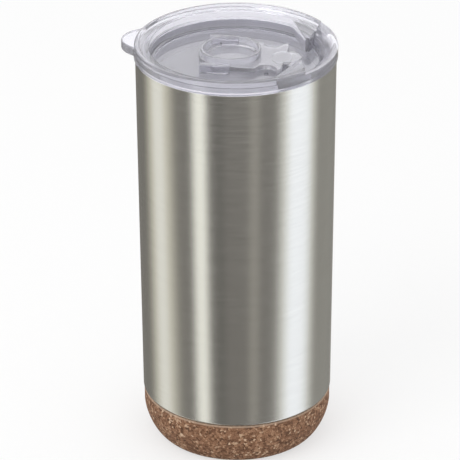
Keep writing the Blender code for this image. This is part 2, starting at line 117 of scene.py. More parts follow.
rim_z = shell_high.z
foot_z = shell_low.z
body_top_r = shell_high.x
body_foot_r = radius_near("outer_shell", foot_z + ABOVE_FOOT)
lid_top_z = lid_high.z
flange_r = lid_high.x
seat_z = rim_z + SEAT_GAP
print("steel from and to, in mm:", in_mm((foot_z, rim_z)))
print("steel radius at foot and rim, in mm:", in_mm((body_foot_r, body_top_r)))

# %% [markdown]
# ## Helpers for turned and flat shapes
#
# Almost everything here is turned on a lathe, pressed, or moulded with an edge of constant height. So
# two builders do nearly all of the work. One spins a half section about the axis. The other raises a flat
# outline to a given thickness and rounds its edges with a bevel, as a mould does.

# %% Points and arcs
ARC_STEPS = 7


def arc(centre, radius, start, end, steps=ARC_STEPS):
    """Points of an arc, from the start angle to the end angle in degrees."""
    points = []
    for i in range(steps + 1):
        angle = math.radians(start + (end - start) * i / steps)
        points.append((centre[0] + radius * math.cos(angle), centre[1] + radius * math.sin(angle)))
    return points


def rounded(corners, closed=True, steps=ARC_STEPS):
    """Outline whose corners are (x, y, radius), with each radius above zero turned into an arc."""
    count = len(corners)
    points = []
    for i, (x, y, radius) in enumerate(corners):
        at_end = not closed and i in (0, count - 1)
        if radius == 0 or at_end:
            points.append((x, y))
            continue
        corner = Vector((x, y))
        to_before = (Vector(corners[i - 1][:2]) - corner).normalized()
        to_after = (Vector(corners[(i + 1) % count][:2]) - corner).normalized()
        opening = to_before.angle(to_after)
        centre = corner + (to_before + to_after).normalized() * radius / math.sin(opening / 2)
        first = corner + to_before * radius / math.tan(opening / 2) - centre
        last = corner + to_after * radius / math.tan(opening / 2) - centre
        turn = first.angle_signed(last)
        for step in range(steps + 1):
            points.append(tuple(centre + Matrix.Rotation(-turn * step / steps, 2) @ first))
    return points


def mirrored(points):
    """The same points on the other side of the X axis, in reverse order."""
    return [(x, -y) for x, y in reversed(points)]


# %% [markdown]
# A bmesh holds a shape while it is built. `spin` turns a section into a solid, and `extrude` with `bevel`
# raises an outline and rounds its rims. Exact booleans then join or cut such solids, and their result is
# kept at once, so that the next cut works on plain mesh.

# %% Lathe, prism and cut
TURN_STEPS = 192
MERGE_DISTANCE = 0.000001
BEVEL_STEPS = 3
CORNER_ANGLE = math.radians(40)
CUT_CORNER_ANGLE = math.radians(32)


def new_piece(name, shape):
    """Object made from a bmesh, linked to the scene and shaded smooth."""
    bmesh.ops.recalc_face_normals(shape, faces=shape.faces)
    mesh = bpy.data.meshes.new(name)
    shape.to_mesh(mesh)
    shape.free()
    mesh.shade_smooth()
    mesh.set_sharp_from_angle(angle=CORNER_ANGLE)
    piece = bpy.data.objects.new(name, mesh)
    bpy.context.scene.collection.objects.link(piece)
    return piece


def lathe(name, section, closed=True):
    """Solid turned about the Z axis from a half section of (radius, height) points."""
    shape = bmesh.new()
    points = [shape.verts.new((r, 0, z)) for r, z in section]
    edges = [shape.edges.new(pair) for pair in zip(points, points[1:])]
    if closed:
        edges.append(shape.edges.new((points[-1], points[0])))
    bmesh.ops.spin(
        shape, geom=points + edges, cent=(0, 0, 0), axis=(0, 0, 1), angle=2 * math.pi, steps=TURN_STEPS
    )
    bmesh.ops.remove_doubles(shape, verts=shape.verts, dist=MERGE_DISTANCE)
    return new_piece(name, shape)


def prism(name, outline, low, high, edge=0.0):
    """Solid with a flat outline between two heights, its rims rounded by `edge`."""
    shape = bmesh.new()
    face = shape.faces.new([shape.verts.new((x, y, low)) for x, y in outline])
    raised = bmesh.ops.extrude_face_region(shape, geom=[face])["geom"]
    top = [item for item in raised if isinstance(item, bmesh.types.BMVert)]
    bmesh.ops.translate(shape, verts=top, vec=(0, 0, high - low))
    if edge:
        rims = [e for e in shape.edges if abs(e.verts[0].co.z - e.verts[1].co.z) < MERGE_DISTANCE]
        bmesh.ops.bevel(shape, geom=rims, offset=edge, segments=BEVEL_STEPS, profile=0.5, affect="EDGES")
    return new_piece(name, shape)


def apply_cut(piece, operand, operation):
    """Join an operand to a piece or cut it away for good, then drop the operand."""
    step = piece.modifiers.new(operand.name, "BOOLEAN")
    step.operation = operation
    step.solver = "EXACT"
    step.object = operand
    bpy.context.view_layer.update()
    depsgraph = bpy.context.evaluated_depsgraph_get()
    mesh = bpy.data.meshes.new_from_object(piece.evaluated_get(depsgraph))
    piece.modifiers.clear()
    piece.data = mesh
    bpy.data.objects.remove(operand)


def finish_shading(piece):
    """Shade a cut piece smooth, keep its corners crisp and let its flats lie flat."""
    piece.data.shade_smooth()
    piece.data.set_sharp_from_angle(angle=CUT_CORNER_ANGLE)
    weighted = piece.modifiers.new("flat_normals", "WEIGHTED_NORMAL")
    weighted.keep_sharp = True


# %% [markdown]
# ## Helpers for finishes
#
# Each finish is a Principled shader with a few texture nodes in front of it. These helpers keep the node
# code short. One adds a node and sets its inputs. One makes a noise texture that can be stretched along an
# axis, which is the base of brushing, grain and flow marks. Others add, remap and colour the result.

# %% Node helpers
def new_finish(name, colour, roughness, metallic=0.0):
    """Material with a Principled shader and its plain values set on the shader itself."""
    material = bpy.data.materials.new(name)
    material.use_nodes = True
    shader = material.node_tree.nodes["Principled BSDF"]
    shader.inputs["Base Color"].default_value = (*colour, 1)
    shader.inputs["Roughness"].default_value = roughness
    shader.inputs["Metallic"].default_value = metallic
    return material, material.node_tree, shader


def add_node(tree, kind, **inputs):
    """New node of a kind. Each keyword sets the input of that name; underscores stand for spaces."""
    node = tree.nodes.new(kind)
    for key, value in inputs.items():
        node.inputs[key.replace("_", " ")].default_value = value
    return node


def stretched_noise(tree, stretch, detail=3.0):
    """Noise read in object space, in metres, with its own frequency along X, Y and Z."""
    place = tree.nodes.new("ShaderNodeTexCoord")
    sizes = add_node(tree, "ShaderNodeMapping", Scale=stretch)
    noise = add_node(tree, "ShaderNodeTexNoise", Scale=1.0, Detail=detail)
    tree.links.new(place.outputs["Object"], sizes.inputs["Vector"])
    tree.links.new(sizes.outputs["Vector"], noise.inputs["Vector"])
    return noise


def remap(tree, value, low, high, from_low=0.0, from_high=1.0):
    """Number between `low` and `high`, driven by a texture's value."""
    node = add_node(tree, "ShaderNodeMapRange")
    node.inputs["From Min"].default_value = from_low
    node.inputs["From Max"].default_value = from_high
    node.inputs["To Min"].default_value = low
    node.inputs["To Max"].default_value = high
    tree.links.new(value, node.inputs["Value"])
    return node.outputs["Result"]


def add_up(tree, first, second):
    """Sum of two texture values."""
    total = tree.nodes.new("ShaderNodeMath")
    total.operation = "ADD"
    tree.links.new(first, total.inputs[0])
    tree.links.new(second, total.inputs[1])
    return total.outputs["Value"]


def colour_ramp(tree, value, stops):
    """Colour read from (position, colour) stops by a texture's value."""
    ramp = tree.nodes.new("ShaderNodeValToRGB")
    while len(ramp.color_ramp.elements) < len(stops):
        ramp.color_ramp.elements.new(1.0)
    for element, (position, colour) in zip(ramp.color_ramp.elements, stops):
        element.position = position
        element.color = (*colour, 1)
    tree.links.new(value, ramp.inputs["Fac"])
    return ramp.outputs["Color"]


def add_bump(tree, shader, height, strength, distance):
    """Small relief on a shader from a texture's value."""
    bump = add_node(tree, "ShaderNodeBump", Strength=strength, Distance=distance)
    tree.links.new(height, bump.inputs["Height"])
    tree.links.new(bump.outputs["Normal"], shader.inputs["Normal"])
    return bump


def dress(piece, material):
    """Give a piece one material."""
    piece.data.materials.clear()
    piece.data.materials.append(material)


# %% [markdown]
# ## Brushed steel
#
# The outside of the cup is turned against an abrasive belt, which leaves fine scratches round the
# body. Light glances off such scratches in a tall vertical streak. The shader's anisotropy gives that
# streak, with its tangent running round the axis. Stretched noise gives the scratches, very fine up the
# wall and some millimetres long round it, and a rounder noise adds a slight grain at the streaks' edges.

# %% Steel of the outer shell
STEEL = (0.62, 0.61, 0.585)
STEEL_ROUGHNESS = 0.24
SATIN_RANGE = (0.21, 0.27)
SCRATCH_DEPTH = 0.00003
BRUSHING = 0.90
BRUSHED_ROUND = 0.25
SCRATCHES_FINE = (160, 160, 6500)
SCRATCHES_BROAD = (60, 60, 2600)
STEEL_GRAIN = (700, 700, 1500)
SCRATCH_TONES = [(0.30, (0.585, 0.575, 0.555)), (0.70, (0.655, 0.645, 0.62))]


def brushed_steel():
    """Satin stainless steel brushed round the axis."""
    material, tree, shader = new_finish("brushed_steel", STEEL, STEEL_ROUGHNESS, metallic=1.0)
    shader.inputs["Anisotropic"].default_value = BRUSHING
    shader.inputs["Anisotropic Rotation"].default_value = BRUSHED_ROUND
    tangent = tree.nodes.new("ShaderNodeTangent")
    tangent.direction_type = "RADIAL"
    tangent.axis = "Z"
    tree.links.new(tangent.outputs["Tangent"], shader.inputs["Tangent"])
    fine = stretched_noise(tree, SCRATCHES_FINE, detail=4.0)
    broad = stretched_noise(tree, SCRATCHES_BROAD, detail=2.0)
    grain = stretched_noise(tree, STEEL_GRAIN)
    scratches = add_up(tree, fine.outputs["Fac"], broad.outputs["Fac"])
    tree.links.new(remap(tree, scratches, *SATIN_RANGE, 0.6, 1.4), shader.inputs["Roughness"])
    tree.links.new(steel_tone(tree, scratches), shader.inputs["Base Color"])
    relief = add_up(tree, scratches, grain.outputs["Fac"])
    add_bump(tree, shader, relief, 0.50, SCRATCH_DEPTH)
    return material


def steel_tone(tree, scratches):
    """Slightly lighter and darker scratches in the steel's colour."""
    share = remap(tree, scratches, 0.0, 1.0, 0.0, 2.0)
    return colour_ramp(tree, share, SCRATCH_TONES)


shell_finish = brushed_steel()
print("made", shell_finish.name)

# %% [markdown]
# ## The steel body
#
# The body is a tube with a slight taper: it is narrower at the foot so that cups release from the
# press. Its rim turns in to meet the liner over a tight edge, and its foot turns in under the base plate
# over a wider one. A half section with three arcs describes all of that, and the lathe does the rest.

# %% Turn the steel body
GAP = 0.0003
SHEET = 0.0006
EDGE_ROUND = 0.0010
RIM_ROUND = 0.0004
LIP_W = 0.0026


def steel_body():
    """Tapered steel tube with rolled ends."""
    mouth_r = radius_near("inner_liner", rim_z) + GAP
    rim = (body_top_r - RIM_ROUND, rim_z - RIM_ROUND)
    foot = (body_foot_r - EDGE_ROUND, foot_z + EDGE_ROUND)
    inner = EDGE_ROUND - SHEET
    section = [(mouth_r, rim_z)] + arc(rim, RIM_ROUND, 90, 0) + arc(foot, EDGE_ROUND, 0, -90)
    section += [(body_foot_r - LIP_W, foot_z), (body_foot_r - LIP_W, foot_z + SHEET)]
    section += arc(foot, inner, -90, 0)
    section += [(body_top_r - SHEET, rim_z - SHEET), (mouth_r, rim_z - SHEET)]
    return lathe("steel_body", section)


body = steel_body()
dress(body, shell_finish)
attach(body, "cup")
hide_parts("outer_shell")
print("steel body:", len(body.data.polygons), "faces")

# %% [markdown]
# ## The liner
#
# The liner is the inner cup that holds the drink. It is drawn from one sheet and etched, which leaves it
# pale and dull, so most of its light is scattered and only some is mirrored. It shows through the clear
# lid as a light grey. Its wall ends in a small broken edge inside the rim of the body.

# %% Turn the liner
LINER_SHEET = 0.0005
LINER_EDGE = 0.0002
LINER_CORNER_R = 0.0080
LINER_TONE = (0.96, 0.96, 0.965)
LINER_METAL = 0.25


def drawn_steel():
    """Pale, dull drawn steel with faint marks up the wall and round it."""
    material, tree, shader = new_finish("drawn_steel", LINER_TONE, 0.45, metallic=LINER_METAL)
    marks = stretched_noise(tree, (180, 180, 1800), detail=3.0)
    tree.links.new(remap(tree, marks.outputs["Fac"], 0.38, 0.52, 0.3, 0.7), shader.inputs["Roughness"])
    add_bump(tree, shader, marks.outputs["Fac"], 0.12, SCRATCH_DEPTH)
    return material


def liner_cup():
    """Inner cup with a round corner at its floor."""
    mouth_r = radius_near("inner_liner", rim_z) - LINER_SHEET
    base_z = liner_low.z + LINER_SHEET
    turn_z = base_z + LINER_CORNER_R
    lower_r = mouth_r - (body_top_r - body_foot_r) * (rim_z - turn_z) / (rim_z - foot_z)
    centre = (lower_r - LINER_CORNER_R, turn_z)
    section = [(0, base_z)] + arc(centre, LINER_CORNER_R, -90, 0)
    section += [(mouth_r, rim_z - LINER_EDGE), (mouth_r + LINER_EDGE, rim_z)]
    section += [(mouth_r + LINER_SHEET, rim_z)]
    section += arc(centre, LINER_CORNER_R + LINER_SHEET, 0, -90) + [(0, liner_low.z)]
    return lathe("liner_cup", section, closed=False)


liner = liner_cup()
dress(liner, drawn_steel())
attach(liner, "cup")
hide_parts("inner_liner")
print("liner:", len(liner.data.polygons), "faces")

# %% [markdown]
# ## The cork foot
#
# The foot is agglomerated cork: granules of bark pressed with a binder and then turned. Each granule has
# its own brown, a few are pale, and dark specks sit between them. Voronoi cells are the natural texture
# for granules. The same cells drive the colour and a shallow relief, so a pit is where a dark gap is.

# %% Cork finish
GRANULE = 0.0009
SPECK = 0.0004
WARP = 0.0012
WARP_SCALE = 420.0
CORK_RELIEF = 0.00025
# The next three values set a painted highlight: a lighter band along the top edge of the foot, where light
# catches it.
TOP_HIGHLIGHT_H = 0.0009
TOP_HIGHLIGHT_TONE = (0.62, 0.46, 0.34)
TOP_HIGHLIGHT_SHARE = 0.55
GAP_SHARE = 0.85
BROWNS = [
    (0.0, (0.12, 0.055, 0.027)),
    (0.35, (0.235, 0.115, 0.060)),
    (0.72, (0.33, 0.175, 0.098)),
    (0.90, (0.45, 0.27, 0.16)),
    (1.0, (0.72, 0.53, 0.37)),
]
GAPS = [(0.35, (1, 1, 1)), (0.75, (0.45, 0.38, 0.33))]


def cork_cells(tree, size):
    """Cells of about one size, in metres, slightly warped so that they don't look like a grid."""
    place = tree.nodes.new("ShaderNodeTexCoord")
    warp = add_node(tree, "ShaderNodeTexNoise", Scale=WARP_SCALE, Detail=2.0)
    mix = tree.nodes.new("ShaderNodeMix")
    mix.data_type = "VECTOR"
    mix.inputs["Factor"].default_value = WARP
    cells = add_node(tree, "ShaderNodeTexVoronoi", Scale=1 / size)
    tree.links.new(place.outputs["Object"], warp.inputs["Vector"])
    tree.links.new(place.outputs["Object"], mix.inputs[4])
    tree.links.new(warp.outputs["Color"], mix.inputs[5])
    tree.links.new(mix.outputs[1], cells.inputs["Vector"])
    return cells


def height_in_piece(tree):
    """Height of a point in its object's own space, in metres."""
    place = tree.nodes.new("ShaderNodeTexCoord")
    parts = tree.nodes.new("ShaderNodeSeparateXYZ")
    tree.links.new(place.outputs["Object"], parts.inputs["Vector"])
    return parts.outputs["Z"]


def painted_top_highlight(tree, colour):
    """Painted highlight: lighten a colour near the top edge of the foot, where that edge catches the light.
    """
    low, high = cork_high.z - TOP_HIGHLIGHT_H, cork_high.z - TOP_HIGHLIGHT_H / 3
    pale = tree.nodes.new("ShaderNodeMix")
    pale.data_type = "RGBA"
    pale.inputs[7].default_value = (*TOP_HIGHLIGHT_TONE, 1)
    # The band is a painted highlight, strongest just below the top edge.
    near_top = remap(tree, height_in_piece(tree), 0.0, TOP_HIGHLIGHT_SHARE, low, high)
    tree.links.new(near_top, pale.inputs["Factor"])
    tree.links.new(colour, pale.inputs[6])
    return pale.outputs[2]


def darkened(tree, colour, shade):
    """A colour mostly multiplied by a shade."""
    mix = tree.nodes.new("ShaderNodeMix")
    mix.data_type = "RGBA"
    mix.blend_type = "MULTIPLY"
    mix.inputs["Factor"].default_value = GAP_SHARE
    tree.links.new(colour, mix.inputs[6])
    tree.links.new(shade, mix.inputs[7])
    return mix.outputs[2]


def pressed_cork():
    """Agglomerated cork."""
    material, tree, shader = new_finish("pressed_cork", (0.27, 0.15, 0.09), 0.90)
    granules = cork_cells(tree, GRANULE)
    specks = cork_cells(tree, SPECK)
    pick = tree.nodes.new("ShaderNodeSeparateColor")
    tree.links.new(granules.outputs["Color"], pick.inputs["Color"])
    tone = colour_ramp(tree, pick.outputs["Red"], BROWNS)
    gaps = colour_ramp(tree, specks.outputs["Distance"], GAPS)
    # The base colour carries a painted highlight along the top edge of the foot.
    tree.links.new(painted_top_highlight(tree, darkened(tree, tone, gaps)), shader.inputs["Base Color"])
    tree.links.new(remap(tree, pick.outputs["Green"], 0.78, 0.95), shader.inputs["Roughness"])
    relief = add_up(tree, specks.outputs["Distance"], granules.outputs["Distance"])
    bump = add_bump(tree, shader, relief, 0.55, CORK_RELIEF)
    bump.invert = True
    return material


cork_finish = pressed_cork()
print("made", cork_finish.name)

# %% [markdown]
# The foot itself is turned: an almost upright side, then one long rounding that runs under it. The
# rounding is a quarter of a superellipse, taller than it is wide. Its power, a little above one, makes it
# flatter than an ellipse. The top edge is broken, where the steel sits on it.

# %% Turn the cork foot
CORK_EDGE = 0.0003
CORK_RIM_W = 0.00125
CORK_POCKET = 0.0009
CORK_ROUND_H = 0.0135
CORK_ROUND_POWER = 1.29


def cork_foot():
    """Cork foot with a long rounding underneath and a shallow pocket on top."""
    radius = cork_high.x
    contact_r = radius_near("cork_base", cork_low.z, MERGE_DISTANCE)
    pocket_r = radius - CORK_RIM_W
    top = cork_high.z
    section = [(0, top - CORK_POCKET), (pocket_r, top - CORK_POCKET), (pocket_r, top)]
    section += [(radius - CORK_EDGE, top), (radius, top - CORK_EDGE)]
    steps = 4 * ARC_STEPS
    for i in range(steps + 1):
        angle = math.pi / 2 * i / steps
        inward, upward = (abs(turn(angle)) ** CORK_ROUND_POWER for turn in (math.cos, math.sin))
        r = radius - (radius - contact_r) * (1 - inward)
        section.append((r, cork_low.z + CORK_ROUND_H * (1 - upward)))
    section.append((0, cork_low.z))
    return lathe("cork_foot", section, closed=False)


cork = cork_foot()
dress(cork, cork_finish)
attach(cork, "cup")
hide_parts("cork_base")
print("cork foot:", len(cork.data.polygons), "faces")

# %% [markdown]
# ## Clear plastic
#
# The lid and its slide are injection moulded from a clear, slightly cool plastic. A clear part is all
# about its edges: light bends at every rim, step and rail. So the finish stays simple, with a low
# roughness and a very faint flow of the plastic in its bump. Its clarity is a little below one, because
# handling and dust scatter some light at the surface of any clear part and make it look paler.

# %% Clear plastic finish
CLARITY = 0.85
PLASTIC_IOR = 1.49
ROUGHNESS_SPREAD = 0.04


def clear_plastic(name, colour, roughness):
    """Clear moulded plastic with faint flow marks."""
    material, tree, shader = new_finish(name, colour, roughness)
    shader.inputs["Transmission Weight"].default_value = CLARITY
    shader.inputs["IOR"].default_value = PLASTIC_IOR
    flow = stretched_noise(tree, (120, 120, 120), detail=2.0)
    rough = remap(tree, flow.outputs["Fac"], roughness, roughness + ROUGHNESS_SPREAD)
    tree.links.new(rough, shader.inputs["Roughness"])
    add_bump(tree, shader, flow.outputs["Fac"], 0.15, 0.0002)
    return material


lid_finish = clear_plastic("clear_lid_plastic", (0.925, 0.92, 0.985), 0.02)
slide_finish = clear_plastic("clear_slide_plastic", (0.945, 0.94, 0.985), 0.03)
print("made", lid_finish.name, "and", slide_finish.name)

# %% [markdown]
# ## The lid
#
# The lid is one moulding. A flange rests on the rim of the cup, a plug goes down into it, and between
# them a wide dish holds the slide. The crest of the flange is a narrow rounded bead. Inside it a shallow
# slope with a small ledge falls to the dish, and the wall of the dish has a step. All of that is one half
# section. Every corner has a small radius, because a mould has no sharp ones, and each catches the light.

# %% Half section of the lid
FLANGE_TOP_ROUND = 0.0013
CREST_W = 0.0023
CREST_STEP_W = 0.0004
CREST_STEP_H = 0.0008
RIM_BAND_W = 0.0060
RECESS_DEPTH = 0.0075
RECESS_DRAFT = 0.0008
RECESS_CORNER_R = 0.0010
EDGE_DROP = 0.0015
FLOOR_T = 0.0020
PLUG_WALL = 0.0026
WALL_STEP = 0.0004
WALL_STEP_Z = 0.0036
LEDGE_W = 0.0016
LEDGE_FOOT_H = 0.0002
LEDGE_TOP_H = 0.0005
GROOVE_FOOT_H = 0.0022
GROOVE_H = 0.0030
GROOVE_DEPTH = 0.0012
CEILING_R = 0.0012
TINY_R = 0.0001

floor_z = lid_top_z - RECESS_DEPTH
recess_r = flange_r - RIM_BAND_W
plug_z = lid_low.z
plug_r = radius_near("lid_body", plug_z + ON_LEVEL, TINY_R)


def dish_corners():
    """Corners from the middle of the dish up to the top of the flange."""
    edge_z = lid_top_z - EDGE_DROP
    step_z = floor_z + WALL_STEP_Z
    ledge_r = recess_r + LEDGE_W
    crest_r = flange_r - CREST_W
    corners = [(0, floor_z, 0), (recess_r - RECESS_DRAFT, floor_z, RECESS_CORNER_R)]
    corners += [(recess_r - WALL_STEP, step_z - WALL_STEP, TINY_R), (recess_r, step_z, TINY_R)]
    corners += [(recess_r, edge_z, 5 * TINY_R), (ledge_r, edge_z + LEDGE_FOOT_H, 2 * TINY_R)]
    corners += [(ledge_r, edge_z + LEDGE_TOP_H, TINY_R)]
    corners += [(crest_r, lid_top_z - CREST_STEP_H, 4 * TINY_R)]
    return corners + [(crest_r + CREST_STEP_W, lid_top_z, 4 * TINY_R)]


def plug_corners():
    """Corners from the top of the flange down round the plug and up to its ceiling."""
    inner_r = plug_r - PLUG_WALL
    ceiling_z = floor_z - FLOOR_T
    groove_z = plug_z + GROOVE_FOOT_H
    groove_r = plug_r - GROOVE_DEPTH
    corners = [(flange_r, lid_top_z, FLANGE_TOP_ROUND), (flange_r, seat_z, TINY_R)]
    corners += [(plug_r, seat_z, TINY_R), (plug_r, groove_z + GROOVE_H, 2 * TINY_R)]
    corners += [(groove_r, groove_z + GROOVE_H, 2 * TINY_R), (groove_r, groove_z, 2 * TINY_R)]
    corners += [(plug_r, groove_z, 2 * TINY_R), (plug_r, plug_z, 5 * TINY_R)]
    corners += [(inner_r, plug_z, 6 * TINY_R), (inner_r, ceiling_z, CEILING_R)]
    return corners + [(0, ceiling_z, 0)]


def lid_section():
    """Half section of the lid, from the middle of the dish round to the middle of its underside."""
    return rounded(dish_corners() + plug_corners(), closed=False, steps=4)


lid = lathe("clear_lid", lid_section(), closed=False)
print("lid before its details:", len(lid.data.polygons), "faces")

# %% [markdown]
# ## The lift tab
#
# A thumb lobe stands out from the rim, opposite the sip side. It is a round lobe with a fillet on each
# side where it runs into the flange. The fillet is a circle that touches both the lobe and the rim from
# outside, so its centre follows from their radii.

# %% Join the lift tab
TAB_LOBE_R = 0.0105
TAB_FILLET_R = 0.0050
TAB_T = 0.0037
TAB_DROP = 0.0006
TAB_ROOT = 0.0016
TAB_EDGE = 0.0007


def tab_outline():
    """Plan of the lobe with its two fillets, closed inside the flange."""
    lobe_x = -lid_low.x - TAB_LOBE_R
    reach = flange_r + TAB_FILLET_R
    span = TAB_LOBE_R + TAB_FILLET_R
    fillet_x = (reach ** 2 + lobe_x ** 2 - span ** 2) / (2 * lobe_x)
    fillet_y = math.sqrt(reach ** 2 - fillet_x ** 2)
    at_rim = math.degrees(math.atan2(fillet_y, fillet_x))
    at_lobe = math.degrees(math.atan2(fillet_y, fillet_x - lobe_x))
    side = arc((fillet_x, fillet_y), TAB_FILLET_R, at_rim + 180, at_lobe + 180)
    lobe = arc((lobe_x, 0), TAB_LOBE_R, at_lobe, -at_lobe, 4 * ARC_STEPS)
    root = arc((0, 0), flange_r - TAB_ROOT, -at_rim, at_rim, 2 * ARC_STEPS)
    return [(-x, y) for x, y in side + lobe[1:-1] + mirrored(side) + root]


tab_top = lid_top_z - TAB_DROP
apply_cut(lid, prism("tab", tab_outline(), tab_top - TAB_T, tab_top, TAB_EDGE), "UNION")
print("tab reaches past the flange, in mm:", in_mm([-lid_low.x - flange_r]))

# %% [markdown]
# ## Shoulders and scoop
#
# On the sip side two wedges fill the dish, and their tips point at the sip hole. Between and behind
# them the rim is dished down to the lips, so that the drink runs out over a smooth ramp. The wedges are
# joined to the lid. The ramp is a cone, cut away only within a sector. A joined piece is sunk a little into
# the floor, and a cutter reaches well past what it cuts, so that no two faces lie in one plane.

# %% Shape the sip side
SHOULDER_TIP = (0.0270, 0.0083)
SHOULDER_TIP_R = 0.0010
SHOULDER_ROOT = 0.0010
SHOULDER_NEAR = math.radians(59)
SHOULDER_FAR = math.radians(33)
SHOULDER_DROP = 0.0017
SHOULDER_EDGE = 0.00025
SUNK = 0.0004
SCOOP_MOUTH = (0.0282, 0.0092)
SCOOP_FLARE = (0.0306, 0.0275)
SCOOP_FOOT = (0.0310, 0.0004)
SCOOP_LIP = (0.0011, 0.0011)
SCOOP_ROLL_R = 0.0030
SCOOP_ROLL_END = 128
SCOOP_TIP = 0.0004
PAST = 0.0050


def shoulder(side):
    """Wedge on one side of the sip hole."""
    root_r = recess_r + SHOULDER_ROOT
    near, far = ((root_r * math.cos(a), root_r * math.sin(a)) for a in (SHOULDER_NEAR, SHOULDER_FAR))
    outline = rounded([(*near, 0), (*SHOULDER_TIP, SHOULDER_TIP_R), (*far, 0)])
    outline = [(x, side * y) for x, y in outline]
    return prism("shoulder", outline, floor_z - SUNK, lid_top_z - SHOULDER_DROP, SHOULDER_EDGE)


def scoop():
    """Sector of a cone that dishes the rim."""
    lip = (flange_r - SCOOP_LIP[0], lid_top_z - SCOOP_LIP[1])
    foot = (SCOOP_FOOT[0], floor_z + SCOOP_FOOT[1])
    inside_r = SCOOP_MOUTH[0] - PAST
    above_z = lid_top_z + PAST
    outside_r = flange_r + PAST
    section = [(inside_r, above_z), (outside_r, above_z), (outside_r, lip[1])]
    section += arc((lip[0], lip[1] - SCOOP_ROLL_R), SCOOP_ROLL_R, 90, SCOOP_ROLL_END, 4)
    section += [foot, (inside_r, foot[1])]
    cone = lathe("scoop", section)
    half = [(SCOOP_MOUTH[0] - SCOOP_TIP, 0), SCOOP_MOUTH, SCOOP_FLARE, (outside_r, SCOOP_FLARE[1])]
    sector = prism("sector", mirrored(half) + half[1:], floor_z - PAST, above_z + PAST)
    apply_cut(cone, sector, "INTERSECT")
    return cone


for side in (1, -1):
    apply_cut(lid, shoulder(side), "UNION")
apply_cut(lid, scoop(), "DIFFERENCE")
print("sip side shaped, lid has", len(lid.data.polygons), "faces")

# %% [markdown]
# ## Rails and holes
#
# Two rails stand on the floor of the dish. Each has a small lip that hangs over the edge of the slide and
# keeps it down. The sip hole is an oval under the nose of the slide, and two pinholes let air in.

# %% Add the rails and cut the holes
RAIL_Y = 0.0134
RAIL_W = 0.0020
RAIL_LIP = 0.0010
RAIL_X = (-0.0125, -0.0005)
RAIL_CORNER_R = 0.0012
RAIL_EDGE = 0.00045
SIP_X = 0.0180
SIP_HALF = (0.0030, 0.0045)
VENT = (0.0135, 0.0120)
VENT_R = 0.0009
SLIDE_T = 0.0020

slide_z = slide_low.z
slide_top = slide_z + SLIDE_T


def box_outline(x_pair, y_pair, corner):
    """Rectangle with rounded corners."""
    (x0, x1), (y0, y1) = x_pair, y_pair
    return rounded([(x0, y0, corner), (x1, y0, corner), (x1, y1, corner), (x0, y1, corner)], steps=3)


def rail(side):
    """Rail on one side, undercut for the edge of the slide."""
    ys = sorted((side * (RAIL_Y - RAIL_LIP), side * (RAIL_Y + RAIL_W)))
    top = slide_top + GAP + RAIL_LIP
    bar = prism("rail", box_outline(RAIL_X, ys, RAIL_CORNER_R), floor_z - SUNK, top, RAIL_EDGE)
    ys = sorted((side * (RAIL_Y - 2 * RAIL_LIP), side * RAIL_Y))
    xs = (RAIL_X[0] - PAST, RAIL_X[1] + PAST)
    under = prism("under", box_outline(xs, ys, 0), floor_z - PAST, slide_top + GAP)
    apply_cut(bar, under, "DIFFERENCE")
    return bar


def oval(x, y, half_x, half_y, steps=48):
    """Closed ellipse."""
    turns = [2 * math.pi * i / steps for i in range(steps)]
    return [(x + half_x * math.cos(t), y + half_y * math.sin(t)) for t in turns]


def drill(name, outline):
    """Cut a hole of some outline through the floor of the dish."""
    apply_cut(lid, prism(name, outline, floor_z - PAST, floor_z + PAST / 2), "DIFFERENCE")


for side in (1, -1):
    apply_cut(lid, rail(side), "UNION")
    drill("vent", oval(VENT[0], side * VENT[1], VENT_R, VENT_R, 24))
drill("sip_hole", oval(SIP_X, 0, *SIP_HALF))
finish_shading(lid)
dress(lid, lid_finish)
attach(lid, "lid")
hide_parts("lid_body")
print("finished lid:", len(lid.data.polygons), "faces")

# %% [markdown]
# ## The slide
#
# The slide is a flat plate with a finger ring. Its straight edges run under the rails, a half-round bite
# on each side leaves a narrow neck, and a round nose covers the sip hole. The plate is one outline raised
# to its thickness. The ring is turned with a round top, which is what a fingertip feels.

# %% Outline of the slide
RING_X = -0.0020
RING_R = 0.0120
RING_WALL = 0.0014
RING_FOOT = 0.0006
WELL_FLOOR = 0.0010
SLIDE_BACK_X = -0.0080
SLIDE_FRONT_X = 0.0195
SLIDE_HALF_W = RAIL_Y - GAP
NOSE_X = 0.0204
BITE_OFFSET = 0.0004
BITE = (0.0135, SLIDE_HALF_W + BITE_OFFSET)
BITE_R = 0.0042
SLIDE_CORNER_R = 0.0010

nose_r = slide_high.x - NOSE_X


def slide_outline():
    """Plan of the slide, closed, from its nose round one side and back along the other."""
    nose_y = math.sqrt(nose_r ** 2 - (NOSE_X - SLIDE_FRONT_X) ** 2)
    nose_end = math.degrees(math.atan2(nose_y, SLIDE_FRONT_X - NOSE_X))
    bite_sag = math.degrees(math.asin(BITE_OFFSET / BITE_R))
    foot_r = RING_R + RING_FOOT
    ring_y = math.sqrt(foot_r ** 2 - (RING_X - SLIDE_BACK_X) ** 2)
    ring_start = math.degrees(math.atan2(ring_y, SLIDE_BACK_X - RING_X))
    corner = SLIDE_CORNER_R
    front = (SLIDE_FRONT_X - corner, SLIDE_HALF_W - corner)
    back = (SLIDE_BACK_X + corner, SLIDE_HALF_W - corner)
    half = arc((NOSE_X, 0), nose_r, 0, nose_end, 2 * ARC_STEPS)
    half += arc(front, corner, 0, 90, 4)
    half += arc(BITE, BITE_R, -bite_sag, bite_sag - 180, 3 * ARC_STEPS)
    half += arc(back, corner, 90, 180, 4)
    half += arc((RING_X, 0), foot_r, ring_start, 180, 3 * ARC_STEPS)
    return half + mirrored(half)[1:-1]


